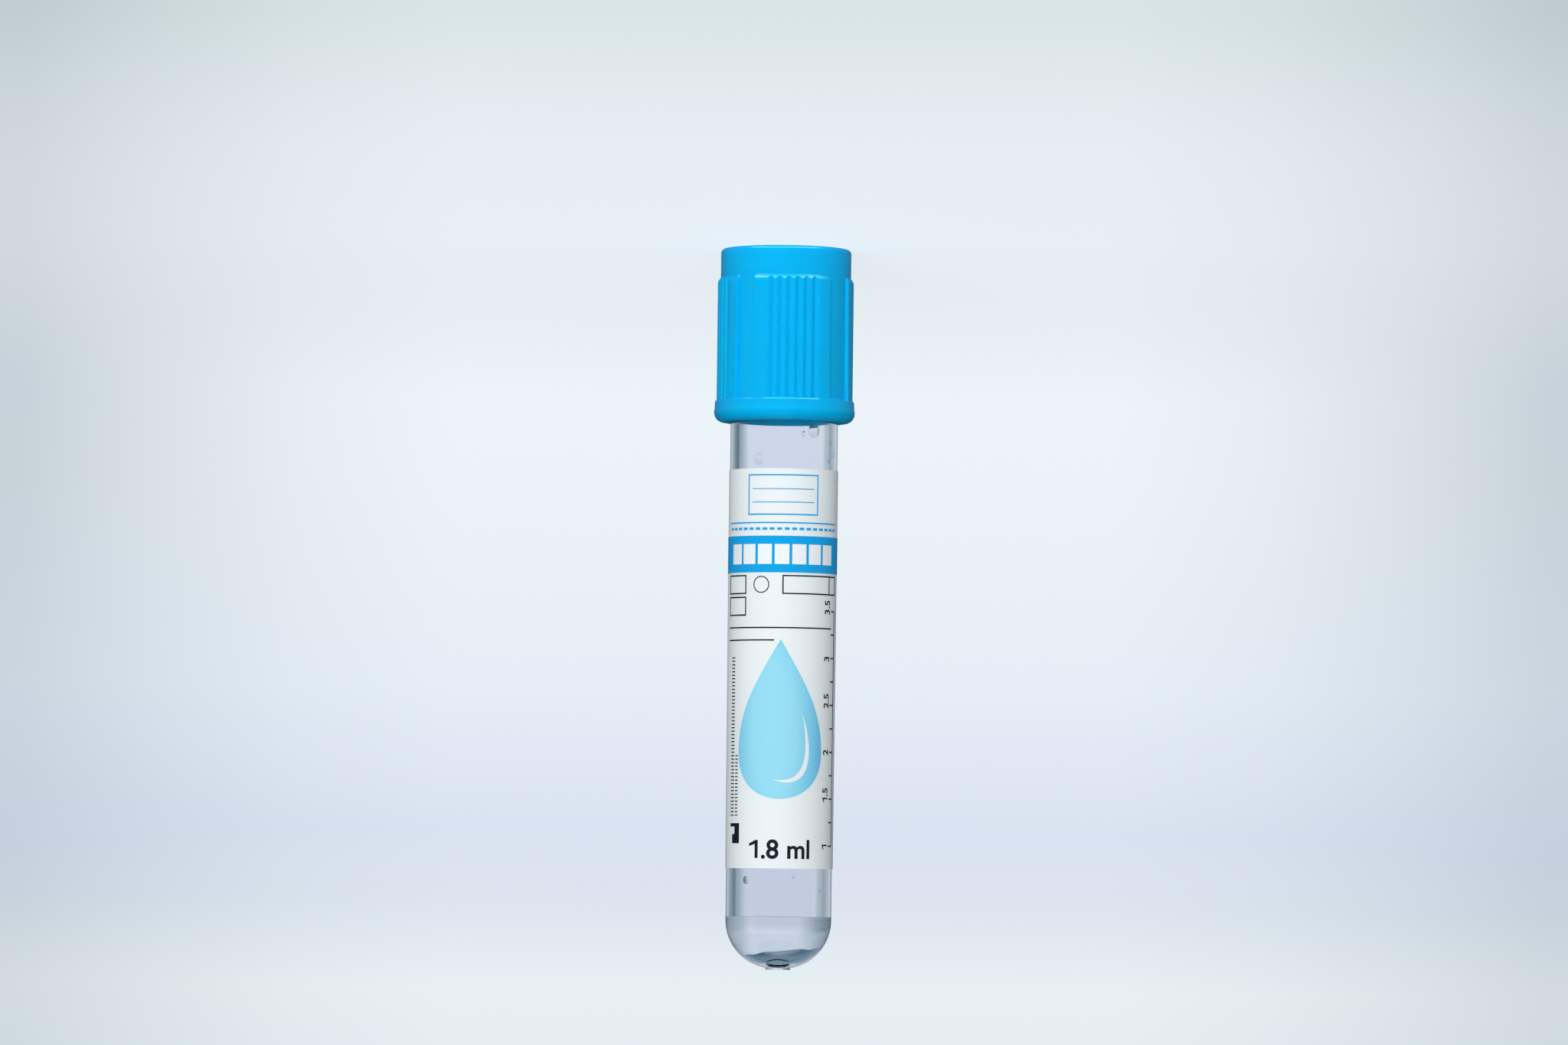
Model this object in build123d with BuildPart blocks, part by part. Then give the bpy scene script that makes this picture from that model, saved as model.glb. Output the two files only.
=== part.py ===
from build123d import *
import os
from math import cos, degrees, radians, sin, sqrt

# An evacuated blood collection tube. Its round end can't stand and its round wall rolls,
# so it stands on the flat top of its cap, which is how it can be set down on a bench.
# Millimetres. The tube is drawn as it is read: heights run along its axis, from the
# round end to the cap, and angles go round it from the middle of the label's front.
# Standing on the cap, that height axis points down, and the front looks along -Y.

# Tube: one clear moulding with a round end, a draft and the stub of its gate
tube_length = 75.0
mouth_diameter = 13.0
foot_diameter = 12.74
foot_rounding = 5.8
foot_straight = 6.17
mouth_wall = 1.0
foot_wall = 1.15
end_wall = 1.4
bore_rounding = 4.7
rim_rounding = 0.3
gate_diameter = 3.1
gate_height = 0.2
gate_draft = 0.1

# Cap: one moulding, a thick lip under a ribbed wall and a flat top with a needle port
cap_height = 21.0
cap_overlap = 9.2
cap_clearance = 0.47
cap_wall = 0.9
cap_top_thickness = 1.2
cap_top_rounding = 0.5
lip_overhang = 0.63
lip_height = 2.7
lip_lead_in = 1.1
lip_flare = 0.38
lip_underside_rounding = 1.4
lip_top_taper = 0.1
port_diameter = 8.0
port_wall = 1.0
port_lead_in = 0.3

# Rib pads: raised grips with sharp grooves, and plain gaps of two widths between them
pad_count = 4
first_pad_angle = 6.5
wide_gap = 25.0
narrow_gap = 17.0
pad_top = 3.5
pad_shoulder = 0.7
pad_relief = 0.355
pad_draft = 0.11
grooves_per_pad = 6
groove_pitch = 7.7
groove_crest = 0.1
groove_floor = 0.05

# Stopper: rubber head pressed into the cap, hollow plug in the tube's mouth
plug_length = 7.6
plug_clearance = 0.05
plug_relief = 0.25
seal_width = 1.5
plug_hollow_diameter = 6.0
septum_thickness = 3.6
well_diameter = 6.4
well_depth = 1.2
head_height = 7.2
seat_gap = 0.02
bead_relief = 0.35
bead_height = 1.4
bead_above_rim = 2.4

# Label: paper wrapped round the tube, with a clear window left at the back
label_thickness = 0.1
label_start = 12.0
label_height = 48.0
label_window = 30.0

# Print: thin layers of colour on the label. Depths are measured down from the label's upper
# edge, starts up from its lower edge, and places round it in millimetres from its front
ink_thickness = 0.04
line_width = 0.16
margin = 8.2
band_depth = 12.5
band_height = 4.4
name_frame_depth = 5.6
name_frame_width = 9.0
name_frame_height = 4.9
drop_start = 8.35
drop_depth = 20.5
drop_width = 9.92
shine_top_pull = 4.7
shine_foot_pull = 0.7
shine_top_width = 0.2
shine_foot_width = 1.0
row_depth = 17.7
row_pitch = 2.6
row_height = 2.3
small_box_width = 3.5
wide_box_width = 8.4
rule_gap = 1.5
scale_start = 2.7
scale_step = 2.82
scale_marks = 11
tick_width = 0.9

# Liquid additive: a measured fill in the round end, where its own skin holds it
fill_level = 5.9
meniscus_rise = 0.4

# Worked out from the sizes above
mouth_radius = mouth_diameter / 2
foot_radius = foot_diameter / 2
label_end = label_start + label_height
cap_start = tube_length - cap_overlap
cap_end = cap_start + cap_height
cap_bore_radius = mouth_radius + cap_clearance
cap_radius = cap_bore_radius + cap_wall
lip_radius = cap_radius + lip_overhang
lip_widest = cap_start + lip_underside_rounding
lip_end = cap_start + lip_height
lip_rounding_centre = lip_radius - lip_underside_rounding
port_radius = port_diameter / 2
head_start = tube_length + seat_gap
head_end = head_start + head_height
top_corner_radius = cap_radius - cap_top_rounding
top_corner_height = cap_end - cap_top_rounding
pad_end = cap_end - pad_top
pad_span = 360.0 / pad_count - (wide_gap + narrow_gap) / 2
plug_end = tube_length - plug_length
straight_end = foot_rounding + foot_straight
bore_foot_radius = foot_radius - foot_wall
bore_mouth_radius = mouth_radius - mouth_wall
bore_foot = end_wall + bore_rounding


def outer_radius(height):
    """The tube's outside: straight above the round end, then drafted up to the rim."""
    draft = (mouth_radius - foot_radius) / (tube_length - straight_end)
    return foot_radius + draft * max(0, height - straight_end)


def bore_radius(height):
    """The tube's inside on its drafted stretch."""
    draft = (bore_mouth_radius - bore_foot_radius) / (tube_length - bore_foot)
    return bore_foot_radius + draft * (height - bore_foot)


# The cap's flat top is on the table, so the round end is at the top of the model
foot_point = Vector(0, 0, cap_end)
axis_direction = Vector(0, 0, -1)
front = Vector(0, -1, 0)
right = axis_direction.cross(front)
tube_axis = Axis(foot_point, axis_direction)


def radial(angle):
    """The direction square to the axis at an angle round it."""
    return front * cos(radians(angle)) + right * sin(radians(angle))


def half_plane(angle):
    """The plane of a turned profile: x is the radius and y the height."""
    return Plane(origin=foot_point, x_dir=radial(angle), z_dir=radial(angle).cross(axis_direction))


def cross_plane(height):
    """The plane across the tube at a height, with x towards the label's front."""
    return Plane(origin=foot_point + axis_direction * height, x_dir=front, z_dir=axis_direction)


back = 180.0
front_plane = Plane(origin=foot_point, x_dir=right, z_dir=front)

os.makedirs("parts", exist_ok=True)

# Tube
with BuildPart() as tube:
    with BuildSketch(half_plane(back)):
        with BuildLine():
            foot_flat = foot_radius - foot_rounding
            bore_flat = bore_foot_radius - bore_rounding
            Line((0, 0), (foot_flat, 0))
            RadiusArc((foot_flat, 0), (foot_radius, foot_rounding), -foot_rounding)
            Line((foot_radius, foot_rounding), (foot_radius, straight_end))
            Line((foot_radius, straight_end), (mouth_radius, tube_length))
            Line((mouth_radius, tube_length), (bore_mouth_radius, tube_length))
            Line((bore_mouth_radius, tube_length), (bore_foot_radius, bore_foot))
            RadiusArc((bore_foot_radius, bore_foot), (bore_flat, end_wall), bore_rounding)
            Line((bore_flat, end_wall), (0, end_wall))
            Line((0, end_wall), (0, 0))
        make_face()
    revolve(axis=tube_axis)
    rim = tube.edges().filter_by(GeomType.CIRCLE).sort_by(tube_axis)[-2:]
    fillet(rim, radius=rim_rounding)
    with BuildSketch(half_plane(back)):
        with BuildLine():
            Polyline(
                (0, end_wall / 2),
                (gate_diameter / 2, end_wall / 2),
                (gate_diameter / 2, 0),
                (gate_diameter / 2 - gate_draft, -gate_height),
                (0, -gate_height),
                close=True,
            )
        make_face()
    revolve(axis=tube_axis)

tube.part.label = "tube"
export_step(tube.part, "parts/tube.step")

# Cap shell
with BuildPart() as cap_shell:
    with BuildSketch(half_plane(back)):
        with BuildLine():
            lip_mouth_radius = cap_bore_radius + lip_flare
            edge_drop = sqrt(lip_underside_rounding**2 - (lip_mouth_radius - lip_rounding_centre) ** 2)
            lip_mouth = (lip_mouth_radius, lip_widest - edge_drop)
            lip_side = (lip_radius, lip_widest)
            RadiusArc(lip_mouth, lip_side, -lip_underside_rounding)
            Polyline(
                lip_side,
                (lip_radius - lip_top_taper, lip_end),
                (cap_radius, lip_end),
                (cap_radius, top_corner_height),
            )
            RadiusArc((cap_radius, top_corner_height), (top_corner_radius, cap_end), -cap_top_rounding)
            Polyline(
                (top_corner_radius, cap_end),
                (port_radius + port_lead_in, cap_end),
                (port_radius, cap_end - port_lead_in),
                (port_radius, head_end),
                (port_radius + port_wall, head_end),
                (port_radius + port_wall, cap_end - cap_top_thickness),
                (cap_bore_radius, cap_end - cap_top_thickness),
                (cap_bore_radius, tube_length + bead_above_rim + bead_height),
                (cap_bore_radius - bead_relief, tube_length + bead_above_rim + bead_height - bead_relief),
                (cap_bore_radius - bead_relief, tube_length + bead_above_rim + bead_relief),
                (cap_bore_radius, tube_length + bead_above_rim),
                (cap_bore_radius, cap_start + lip_lead_in),
                lip_mouth,
            )
        make_face()
    revolve(axis=tube_axis)

    # Raised pads, each turned through its own arc, with a wide and a narrow gap by turns
    pad_centres = [first_pad_angle]
    for pad in range(1, pad_count):
        gap = wide_gap if pad % 2 else narrow_gap
        pad_centres.append(pad_centres[-1] + pad_span + gap)
    for pad_centre in pad_centres:
        with BuildSketch(half_plane(pad_centre - pad_span / 2)):
            with BuildLine():
                Polyline(
                    (cap_radius - cap_wall / 2, lip_end),
                    (cap_radius + pad_relief + pad_draft, lip_end),
                    (cap_radius + pad_relief, pad_end - pad_shoulder),
                    (cap_radius, pad_end),
                    (cap_radius - cap_wall / 2, pad_end),
                    close=True,
                )
            make_face()
        revolve(axis=tube_axis, revolution_arc=pad_span)

    # Sharp grooves down each pad, from its shoulder to the lip
    groove_root = cap_radius + groove_floor
    groove_brim = cap_radius + 2 * pad_relief
    crest_radius = cap_radius + pad_relief
    groove_half = (crest_radius * radians(groove_pitch) - groove_crest) / 2
    brim_half = groove_half * (groove_brim - groove_root) / (crest_radius - groove_root)
    for pad_centre in pad_centres:
        first_groove = pad_centre - groove_pitch * (grooves_per_pad - 1) / 2
        with BuildSketch(cross_plane(lip_end)):
            with PolarLocations(0, grooves_per_pad, first_groove, groove_pitch * grooves_per_pad):
                Polygon(
                    (groove_root, 0),
                    (groove_brim, -brim_half),
                    (groove_brim, brim_half),
                    align=None,
                )
        extrude(amount=pad_end - lip_end, mode=Mode.SUBTRACT)

cap_shell.part.label = "cap_shell"
export_step(cap_shell.part, "parts/cap_shell.step")

# Stopper
with BuildPart() as stopper:
    seal_radius = bore_radius(plug_end) - plug_clearance
    plug_radius = seal_radius - plug_relief
    bead_radius = cap_bore_radius - bead_relief
    bead_start = tube_length + bead_above_rim
    hollow_radius = plug_hollow_diameter / 2
    well_radius = well_diameter / 2
    hollow_end = head_end - well_depth - septum_thickness
    with BuildSketch(half_plane(back)):
        with BuildLine():
            Polyline(
                (hollow_radius, plug_end),
                (plug_radius, plug_end),
                (seal_radius, plug_end + seal_width / 2),
                (seal_radius, plug_end + seal_width),
                (plug_radius, plug_end + seal_width * 1.5),
                (plug_radius, tube_length - seal_width * 1.5),
                (seal_radius, tube_length - seal_width),
                (seal_radius, head_start),
                (cap_bore_radius, head_start),
                (cap_bore_radius, bead_start),
                (bead_radius, bead_start + bead_relief),
                (bead_radius, bead_start + bead_height - bead_relief),
                (cap_bore_radius, bead_start + bead_height),
                (cap_bore_radius, head_end),
                (well_radius, head_end),
                (well_radius - well_depth / 2, head_end - well_depth),
                (0, head_end - well_depth),
                (0, hollow_end),
                (hollow_radius - hollow_radius / 3, hollow_end),
                (hollow_radius, hollow_end - hollow_radius / 3),
                close=True,
            )
        make_face()
    revolve(axis=tube_axis)

stopper.part.label = "stopper"
export_step(stopper.part, "parts/stopper.step")


def wrapped_strip(start, height, angle, span, lift, thickness):
    """Add a strip that follows the tube's draft, from an angle through a span."""
    low = outer_radius(start) + lift
    high = outer_radius(start + height) + lift
    with BuildSketch(half_plane(angle)) as profile:
        with BuildLine():
            Polyline(
                (low, start),
                (low + thickness, start),
                (high + thickness, start + height),
                (high, start + height),
                close=True,
            )
        make_face()
    revolve(profile.sketch, axis=tube_axis, revolution_arc=span)


def print_reach(height):
    """The radius of the label's face at a height."""
    return outer_radius(height) + label_thickness


def printed_bar(start, height, place, width):
    """Add a flat bar of ink; its place and width are millimetres round the label."""
    reach = print_reach(start)
    wrapped_strip(start, height, degrees(place / reach), degrees(width / reach), label_thickness, ink_thickness)


def printed_frame(start, height, place, width):
    """Add an outlined box of ink."""
    for rule in (start, start + height - line_width):
        printed_bar(rule, line_width, place, width)
    for side in (place, place + width - line_width):
        printed_bar(start, height, side, line_width)


# Label, open at the back
label_span = 360.0 - label_window
label_left = -label_span / 2
with BuildPart() as label:
    wrapped_strip(label_start, label_height, label_left, label_span, 0, label_thickness)

label.part.label = "label"
export_step(label.part, "parts/label.step")

# Blue print: the colour band, a rule over it and a write-in frame with a line in it
with BuildPart() as label_band:
    band = label_end - band_depth
    wrapped_strip(band, band_height, label_left, label_span, label_thickness, ink_thickness)
    printed_bar(band + band_height + rule_gap, line_width, -margin, 2 * margin)
    name_frame = label_end - name_frame_depth
    printed_frame(name_frame, name_frame_height, -name_frame_width / 2, name_frame_width)

label_band.part.label = "label_band"
export_step(label_band.part, "parts/label_band.step")

# Drop figure: drawn as it is seen from the front, then cut from a thin layer of ink
with BuildPart() as label_drop:
    drop_half = drop_width / 2
    drop_foot = label_start + drop_start
    drop_tip = label_end - drop_depth
    drop_height = drop_tip - drop_foot
    drop_centre = drop_foot + drop_half * 1.1
    shoulder = (drop_half * 0.69, drop_foot + drop_height * 0.67)
    side_pull = (drop_half, drop_centre + drop_half * 0.93)
    with BuildSketch(front_plane):
        with BuildLine():
            Bezier((0, drop_tip), shoulder, side_pull, (drop_half, drop_centre))
            EllipticalCenterArc(
                (0, drop_centre), drop_half, drop_centre - drop_foot, start_angle=270, arc_size=90
            )
            mirror(about=Plane.YZ)
        make_face()
        # The white highlight down the right side is bare paper
        with BuildLine():
            high_end = (drop_half * 0.53, drop_foot + drop_height * 0.54)
            low_end = (-drop_half * 0.18, drop_foot + drop_height * 0.12)
            top_pull = drop_foot + shine_top_pull
            foot_pull = drop_foot + shine_foot_pull
            Bezier(high_end, (drop_half * 0.93, top_pull), (drop_half * 0.65, foot_pull), low_end)
            top_pull += shine_top_width
            foot_pull += shine_foot_width
            Bezier(high_end, (drop_half * 0.76, top_pull), (drop_half * 0.58, foot_pull), low_end)
        make_face(mode=Mode.SUBTRACT)
    extrude(amount=mouth_diameter)
    with BuildSketch(half_plane(-90)):
        low_edge = drop_foot - line_width
        high_edge = drop_tip + line_width
        with BuildLine():
            Polyline(
                (print_reach(low_edge), low_edge),
                (print_reach(low_edge) + ink_thickness, low_edge),
                (print_reach(high_edge) + ink_thickness, high_edge),
                (print_reach(high_edge), high_edge),
                close=True,
            )
        make_face()
    revolve(axis=tube_axis, revolution_arc=180, mode=Mode.INTERSECT)

label_drop.part.label = "label_drop"
export_step(label_drop.part, "parts/label_drop.step")


# Dark print: empty boxes in two rows, writing rules under them and a plain fill scale
with BuildPart() as label_marks:
    rows = label_end - row_depth
    for row in range(2):
        printed_frame(rows + row * row_pitch, row_height, -margin, small_box_width)
    printed_frame(rows + row_pitch, row_height, 0, wide_box_width)
    for rule in range(1, 3):
        printed_bar(rows - rule * rule_gap, line_width, -margin, margin * 2 / rule - tick_width)
    scale_foot = label_start + scale_start
    printed_bar(scale_foot, scale_step * (scale_marks - 1) + line_width, margin, line_width)
    for mark in range(scale_marks):
        printed_bar(scale_foot + mark * scale_step, line_width, margin - tick_width, tick_width + line_width)

label_marks.part.label = "label_marks"
export_step(label_marks.part, "parts/label_marks.step")

# Liquid additive in the round end
with BuildPart() as additive_liquid:
    edge_level = fill_level + meniscus_rise
    with BuildSketch(half_plane(back)):
        with BuildLine():
            Line((0, end_wall), (bore_flat, end_wall))
            RadiusArc((bore_flat, end_wall), (bore_foot_radius, bore_foot), -bore_rounding)
            Polyline((bore_foot_radius, bore_foot), (bore_radius(edge_level), edge_level))
            Spline(
                (bore_radius(edge_level), edge_level),
                (bore_foot_radius * 0.8, fill_level),
                tangents=[(-0.5, -1), (-1, 0)],
            )
            Polyline((bore_foot_radius * 0.8, fill_level), (0, fill_level), (0, end_wall))
        make_face()
    revolve(axis=tube_axis)

additive_liquid.part.label = "additive_liquid"
export_step(additive_liquid.part, "parts/additive_liquid.step")

print(f"bore at the plug {bore_radius(plug_end):.3f}, seal {seal_radius:.3f}")
print(f"liquid {additive_liquid.part.volume:.0f} cubic mm, bore foot {bore_foot:.2f}")
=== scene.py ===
# %% [markdown]
# # A blood collection tube
# The tube is a clear moulding with a round end, a paper label, a ribbed cap over a rubber
# stopper, and a little liquid. Its round end can't stand, so it stands on its cap. The
# frame that is loaded first holds its solids, and every piece below is fitted to them.

# %% Load the frame
from math import atan2, cos, degrees, pi, radians, sin, tan

import bmesh
import bpy
from mathutils import Matrix, Vector


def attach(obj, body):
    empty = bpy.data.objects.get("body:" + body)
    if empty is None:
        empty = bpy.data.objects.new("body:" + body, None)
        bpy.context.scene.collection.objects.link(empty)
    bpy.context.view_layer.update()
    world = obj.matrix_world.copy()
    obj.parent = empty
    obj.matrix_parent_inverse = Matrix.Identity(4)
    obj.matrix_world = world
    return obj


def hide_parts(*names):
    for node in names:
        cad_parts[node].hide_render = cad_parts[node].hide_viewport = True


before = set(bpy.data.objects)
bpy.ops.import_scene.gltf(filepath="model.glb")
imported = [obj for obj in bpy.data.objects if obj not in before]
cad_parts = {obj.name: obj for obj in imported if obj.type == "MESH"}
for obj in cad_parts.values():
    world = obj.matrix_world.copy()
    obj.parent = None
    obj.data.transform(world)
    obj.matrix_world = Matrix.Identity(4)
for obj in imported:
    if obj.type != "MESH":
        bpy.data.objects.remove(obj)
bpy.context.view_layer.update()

# %% [markdown]
# ## Drawing the tube the way it is read
# A tube is drawn most easily with its round end at zero and its cap on top: millimetres
# up the axis, and the label's front towards -Y. One turn about Y and one lift then put
# each finished mesh where the frame has it, cap down.

# %% Sizes in millimetres
millimetre = 0.001
tube_length = 75.0
foot_radius = 6.37
mouth_radius = 6.5
straight_end = 11.97
bore_foot_radius = 5.22
bore_mouth_radius = 5.5
end_wall = 1.4
foot_rounding = 5.8
bore_rounding = 4.7
bore_foot = end_wall + bore_rounding
rim_rounding = 0.3
cap_overlap = 9.2
cap_height = 21.0
cap_wall = 0.9
cap_start = tube_length - cap_overlap
cap_end = cap_start + cap_height
cap_radius = 7.87
cap_bore_radius = cap_radius - cap_wall
paper = 0.1
label_start = 12.0
label_height = 48.0
label_end = label_start + label_height
label_reach = 165.0  # degrees from the middle of its front to either edge
lift = Matrix.Translation((0, 0, cap_end * millimetre))
half_turn = Matrix.Rotation(pi, 4, "Y")
to_frame = lift @ half_turn @ Matrix.Scale(millimetre, 4)
print(f"the cap's flat top is {cap_end:.1f} mm from the round end")


def outer_radius(height):
    """The tube's outside: straight over the round end, then a slight taper to the rim."""
    taper = (mouth_radius - foot_radius) / (tube_length - straight_end)
    return foot_radius + taper * max(0, height - straight_end)


def bore_radius(height):
    """The tube's inside on its tapered stretch."""
    taper = (bore_mouth_radius - bore_foot_radius) / (tube_length - bore_foot)
    return bore_foot_radius + taper * (height - bore_foot)


def around(angle, radius, height):
    """A point at an angle from the label's front, counted towards its right."""
    return Vector((radius * sin(radians(angle)), -radius * cos(radians(angle)), height))


# %% [markdown]
# ## Turned pieces
# The tube, the stopper and the cap are all turned shapes. Half of the section is a few
# corners. Bevelling a corner rounds it, as a mould maker does, and one spin about the
# axis makes the whole skin.

# %% Helper: a section with rounded corners
large_rounding = 2.0
large_steps = 24
small_steps = 5


def section(corners, closed=False):
    """Corners are (radius, height, rounding); returns a bmesh with one rounded wire."""
    bm = bmesh.new()
    points = [bm.verts.new((radius, 0, height)) for radius, height, _ in corners]
    for pair in zip(points, points[1:]):
        bm.edges.new(pair)
    if closed:
        bm.edges.new((points[-1], points[0]))
    for point, (_, _, rounding) in zip(points, corners):
        if rounding:
            bmesh.ops.bevel(
                bm,
                geom=[point],
                offset=rounding,
                offset_type="OFFSET",
                affect="VERTICES",
                segments=large_steps if rounding > large_rounding else small_steps,
                profile=0.5,
                material=-1,
            )
    return bm


# %% Helper: one spin, and the finished object
merge_distance = 0.0005


def spun(bm, steps, turn=360.0):
    """Spins the whole wire about the axis and closes the seam and the poles."""
    bmesh.ops.spin(
        bm,
        geom=bm.verts[:] + bm.edges[:],
        cent=(0, 0, 0),
        axis=(0, 0, 1),
        angle=radians(turn),
        steps=steps,
        use_merge=turn == 360.0,
    )
    bmesh.ops.remove_doubles(bm, verts=bm.verts, dist=merge_distance)
    bmesh.ops.recalc_face_normals(bm, faces=bm.faces)
    return bm


def finished(bm, name, material, body, sharp=35.0):
    """Puts a mesh in the frame's place and size, and names its finish and its body."""
    bmesh.ops.transform(bm, matrix=to_frame, verts=bm.verts)
    mesh = bpy.data.meshes.new(name)
    bm.to_mesh(mesh)
    bm.free()
    mesh.shade_smooth()
    mesh.set_sharp_from_angle(angle=radians(sharp))
    mesh.materials.append(material)
    piece = bpy.data.objects.new(name, mesh)
    bpy.context.scene.collection.objects.link(piece)
    even = piece.modifiers.new("even_shading", "WEIGHTED_NORMAL")
    even.mode, even.weight, even.keep_sharp = "FACE_AREA", 50, True
    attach(piece, body)
    print(f"{name}: {len(mesh.polygons)} faces")
    return piece


# %% [markdown]
# ## Finishes
# Each finish is one Principled shader with its own small-scale life: moulded plastic has
# a faint unevenness, paper has fibres, ink lies thin and a little patchy. The unevenness
# is shared, so it is a node group with a size and an amount.

# %% Helper: nodes and links
def new_material(name):
    """A node material with its shader at hand."""
    material = bpy.data.materials.new(name)
    material.use_nodes = True
    return material, material.node_tree, material.node_tree.nodes["Principled BSDF"]


def add_node(tree, kind, **settings):
    """Adds a node; settings that aren't properties are input values by name."""
    node = tree.nodes.new(kind)
    for key, value in settings.items():
        if hasattr(node, key):
            setattr(node, key, value)
        else:
            node.inputs[key.replace("_", " ")].default_value = value
    return node


def mixed(tree, share, first, second, blend_type="MIX"):
    """Mixes two colours by a share; each may be a plain value or another node's output."""
    mix = add_node(tree, "ShaderNodeMix", data_type="RGBA", blend_type=blend_type)
    sockets = (mix.inputs[0], mix.inputs[6], mix.inputs[7])  # the factor and the two colours
    for socket, source in zip(sockets, (share, first, second)):
        if isinstance(source, bpy.types.NodeSocket):
            tree.links.new(source, socket)
        else:
            socket.default_value = source
    return mix.outputs[2]


def srgb(red, green, blue):
    """A colour as a paint chart gives it, 0 to 255, turned into linear light."""
    return tuple(
        (v / 255 / 12.92) if v <= 10 else ((v / 255 + 0.055) / 1.055) ** 2.4
        for v in (red, green, blue)
    ) + (1.0,)


# %% Node group: small-scale unevenness
uneven = bpy.data.node_groups.new("small_unevenness", "ShaderNodeTree")
uneven.interface.new_socket("Size", in_out="INPUT", socket_type="NodeSocketFloat")
uneven.interface.new_socket("Amount", in_out="INPUT", socket_type="NodeSocketFloat")
uneven.interface.new_socket("Stretch", in_out="INPUT", socket_type="NodeSocketVector")
uneven.interface.new_socket("Mask", in_out="OUTPUT", socket_type="NodeSocketFloat")
uneven.interface.new_socket("Height", in_out="OUTPUT", socket_type="NodeSocketFloat")
group_in = uneven.nodes.new("NodeGroupInput")
group_out = uneven.nodes.new("NodeGroupOutput")
place = add_node(uneven, "ShaderNodeTexCoord")
stretch = add_node(uneven, "ShaderNodeVectorMath", operation="MULTIPLY")
grain = add_node(uneven, "ShaderNodeTexNoise", Detail=5.0, Roughness=0.6)
amount = add_node(uneven, "ShaderNodeMath", operation="MULTIPLY")
uneven.links.new(place.outputs["Object"], stretch.inputs[0])
uneven.links.new(group_in.outputs["Stretch"], stretch.inputs[1])
uneven.links.new(stretch.outputs[0], grain.inputs["Vector"])
uneven.links.new(group_in.outputs["Size"], grain.inputs["Scale"])
uneven.links.new(grain.outputs["Fac"], amount.inputs[0])
uneven.links.new(group_in.outputs["Amount"], amount.inputs[1])
uneven.links.new(grain.outputs["Fac"], group_out.inputs["Mask"])
uneven.links.new(amount.outputs[0], group_out.inputs["Height"])


def add_unevenness(tree, shader, size, roughness, relief, stretch=(1, 1, 1), colours=None):
    """Drives roughness, a fine bump and, where asked, a slight change of colour."""
    grain = tree.nodes.new("ShaderNodeGroup")
    grain.node_tree = uneven
    grain.inputs["Size"].default_value = size
    grain.inputs["Amount"].default_value = 1.0
    grain.inputs["Stretch"].default_value = stretch
    spread = add_node(tree, "ShaderNodeMapRange", To_Min=roughness[0], To_Max=roughness[1])
    bump = add_node(tree, "ShaderNodeBump", Strength=1.0, Distance=relief)
    tree.links.new(grain.outputs["Mask"], spread.inputs["Value"])
    tree.links.new(spread.outputs["Result"], shader.inputs["Roughness"])
    tree.links.new(grain.outputs["Height"], bump.inputs["Height"])
    tree.links.new(bump.outputs["Normal"], shader.inputs["Normal"])
    if colours:
        tree.links.new(mixed(tree, grain.outputs["Mask"], *colours), shader.inputs["Base Color"])


# %% [markdown]
# ## Clear plastic
# The tube is injection moulded in clear polyester. It is nearly colourless, it bends
# light more than water does, and its skin is polished with a very slight waviness. Full
# Transmission Weight with this index of refraction gives all of that in one shader.

# %% Clear plastic
clear_plastic, tree, shader = new_material("clear_plastic")
shader.inputs["Base Color"].default_value = (0.972, 0.982, 0.995, 1)
shader.inputs["Transmission Weight"].default_value = 1.0
shader.inputs["IOR"].default_value = 1.57
add_unevenness(
    tree,
    shader,
    size=900,
    roughness=(0.01, 0.04),
    relief=0.000002,
    stretch=(1, 1, 0.3),
)

# %% [markdown]
# ## The tube
# One closed section: up the outside from the gate stub, over the rim, and down the bore
# to its round floor. The big roundings at the end are single bevelled corners. The gate
# stub is where the plastic was let in: the middle of the end, cut off and pushed out.

# %% The tube
gate_radius = 1.5
gate_edge = 0.003
gate_depth = 0.17
tube_wire = section(
    [
        (0, 0, 0),
        (foot_radius, 0, foot_rounding),
        (foot_radius, straight_end, 0),
        (mouth_radius, tube_length, rim_rounding),
        (bore_mouth_radius, tube_length, rim_rounding),
        (bore_foot_radius, end_wall, bore_rounding),
        (0, end_wall, 0),
    ]
)
for radius in (gate_radius, gate_radius + gate_edge):
    bmesh.ops.bisect_plane(
        tube_wire,
        geom=tube_wire.verts[:] + tube_wire.edges[:],
        plane_co=(radius, 0, 0),
        plane_no=(1, 0, 0),
    )
for vert in tube_wire.verts:
    if vert.co.z < end_wall / 2 and vert.co.x < gate_radius + gate_edge / 2:
        vert.co.z = -gate_depth
tube_skin = spun(tube_wire, steps=192)
tube_piece = finished(tube_skin, "tube_wall", clear_plastic, "tube_body")
tube_piece.visible_shadow = False  # light goes through to what lies behind
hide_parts("tube")

# %% [markdown]
# ## Cap plastic
# The cap is a satin blue moulding with a soft glow, since light goes a little way in.
# Subsurface with a longer reach for blue than for red keeps its thin edges saturated,
# and a tinted specular keeps its shine from washing the colour out.

# %% Cap plastic
cap_plastic, tree, shader = new_material("cap_plastic")
shader.inputs["IOR"].default_value = 1.5
shader.inputs["Specular IOR Level"].default_value = 0.8
shader.inputs["Specular Tint"].default_value = (0.35, 0.8, 1, 1)
shader.inputs["Subsurface Weight"].default_value = 0.3
shader.inputs["Subsurface Scale"].default_value = 1.0
shader.inputs["Subsurface Radius"].default_value = (0.0001, 0.0009, 0.002)
add_unevenness(
    tree,
    shader,
    size=1500,
    roughness=(0.2, 0.27),
    relief=0.000003,
    colours=(srgb(0, 180, 243), srgb(0, 188, 250)),
)

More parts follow.
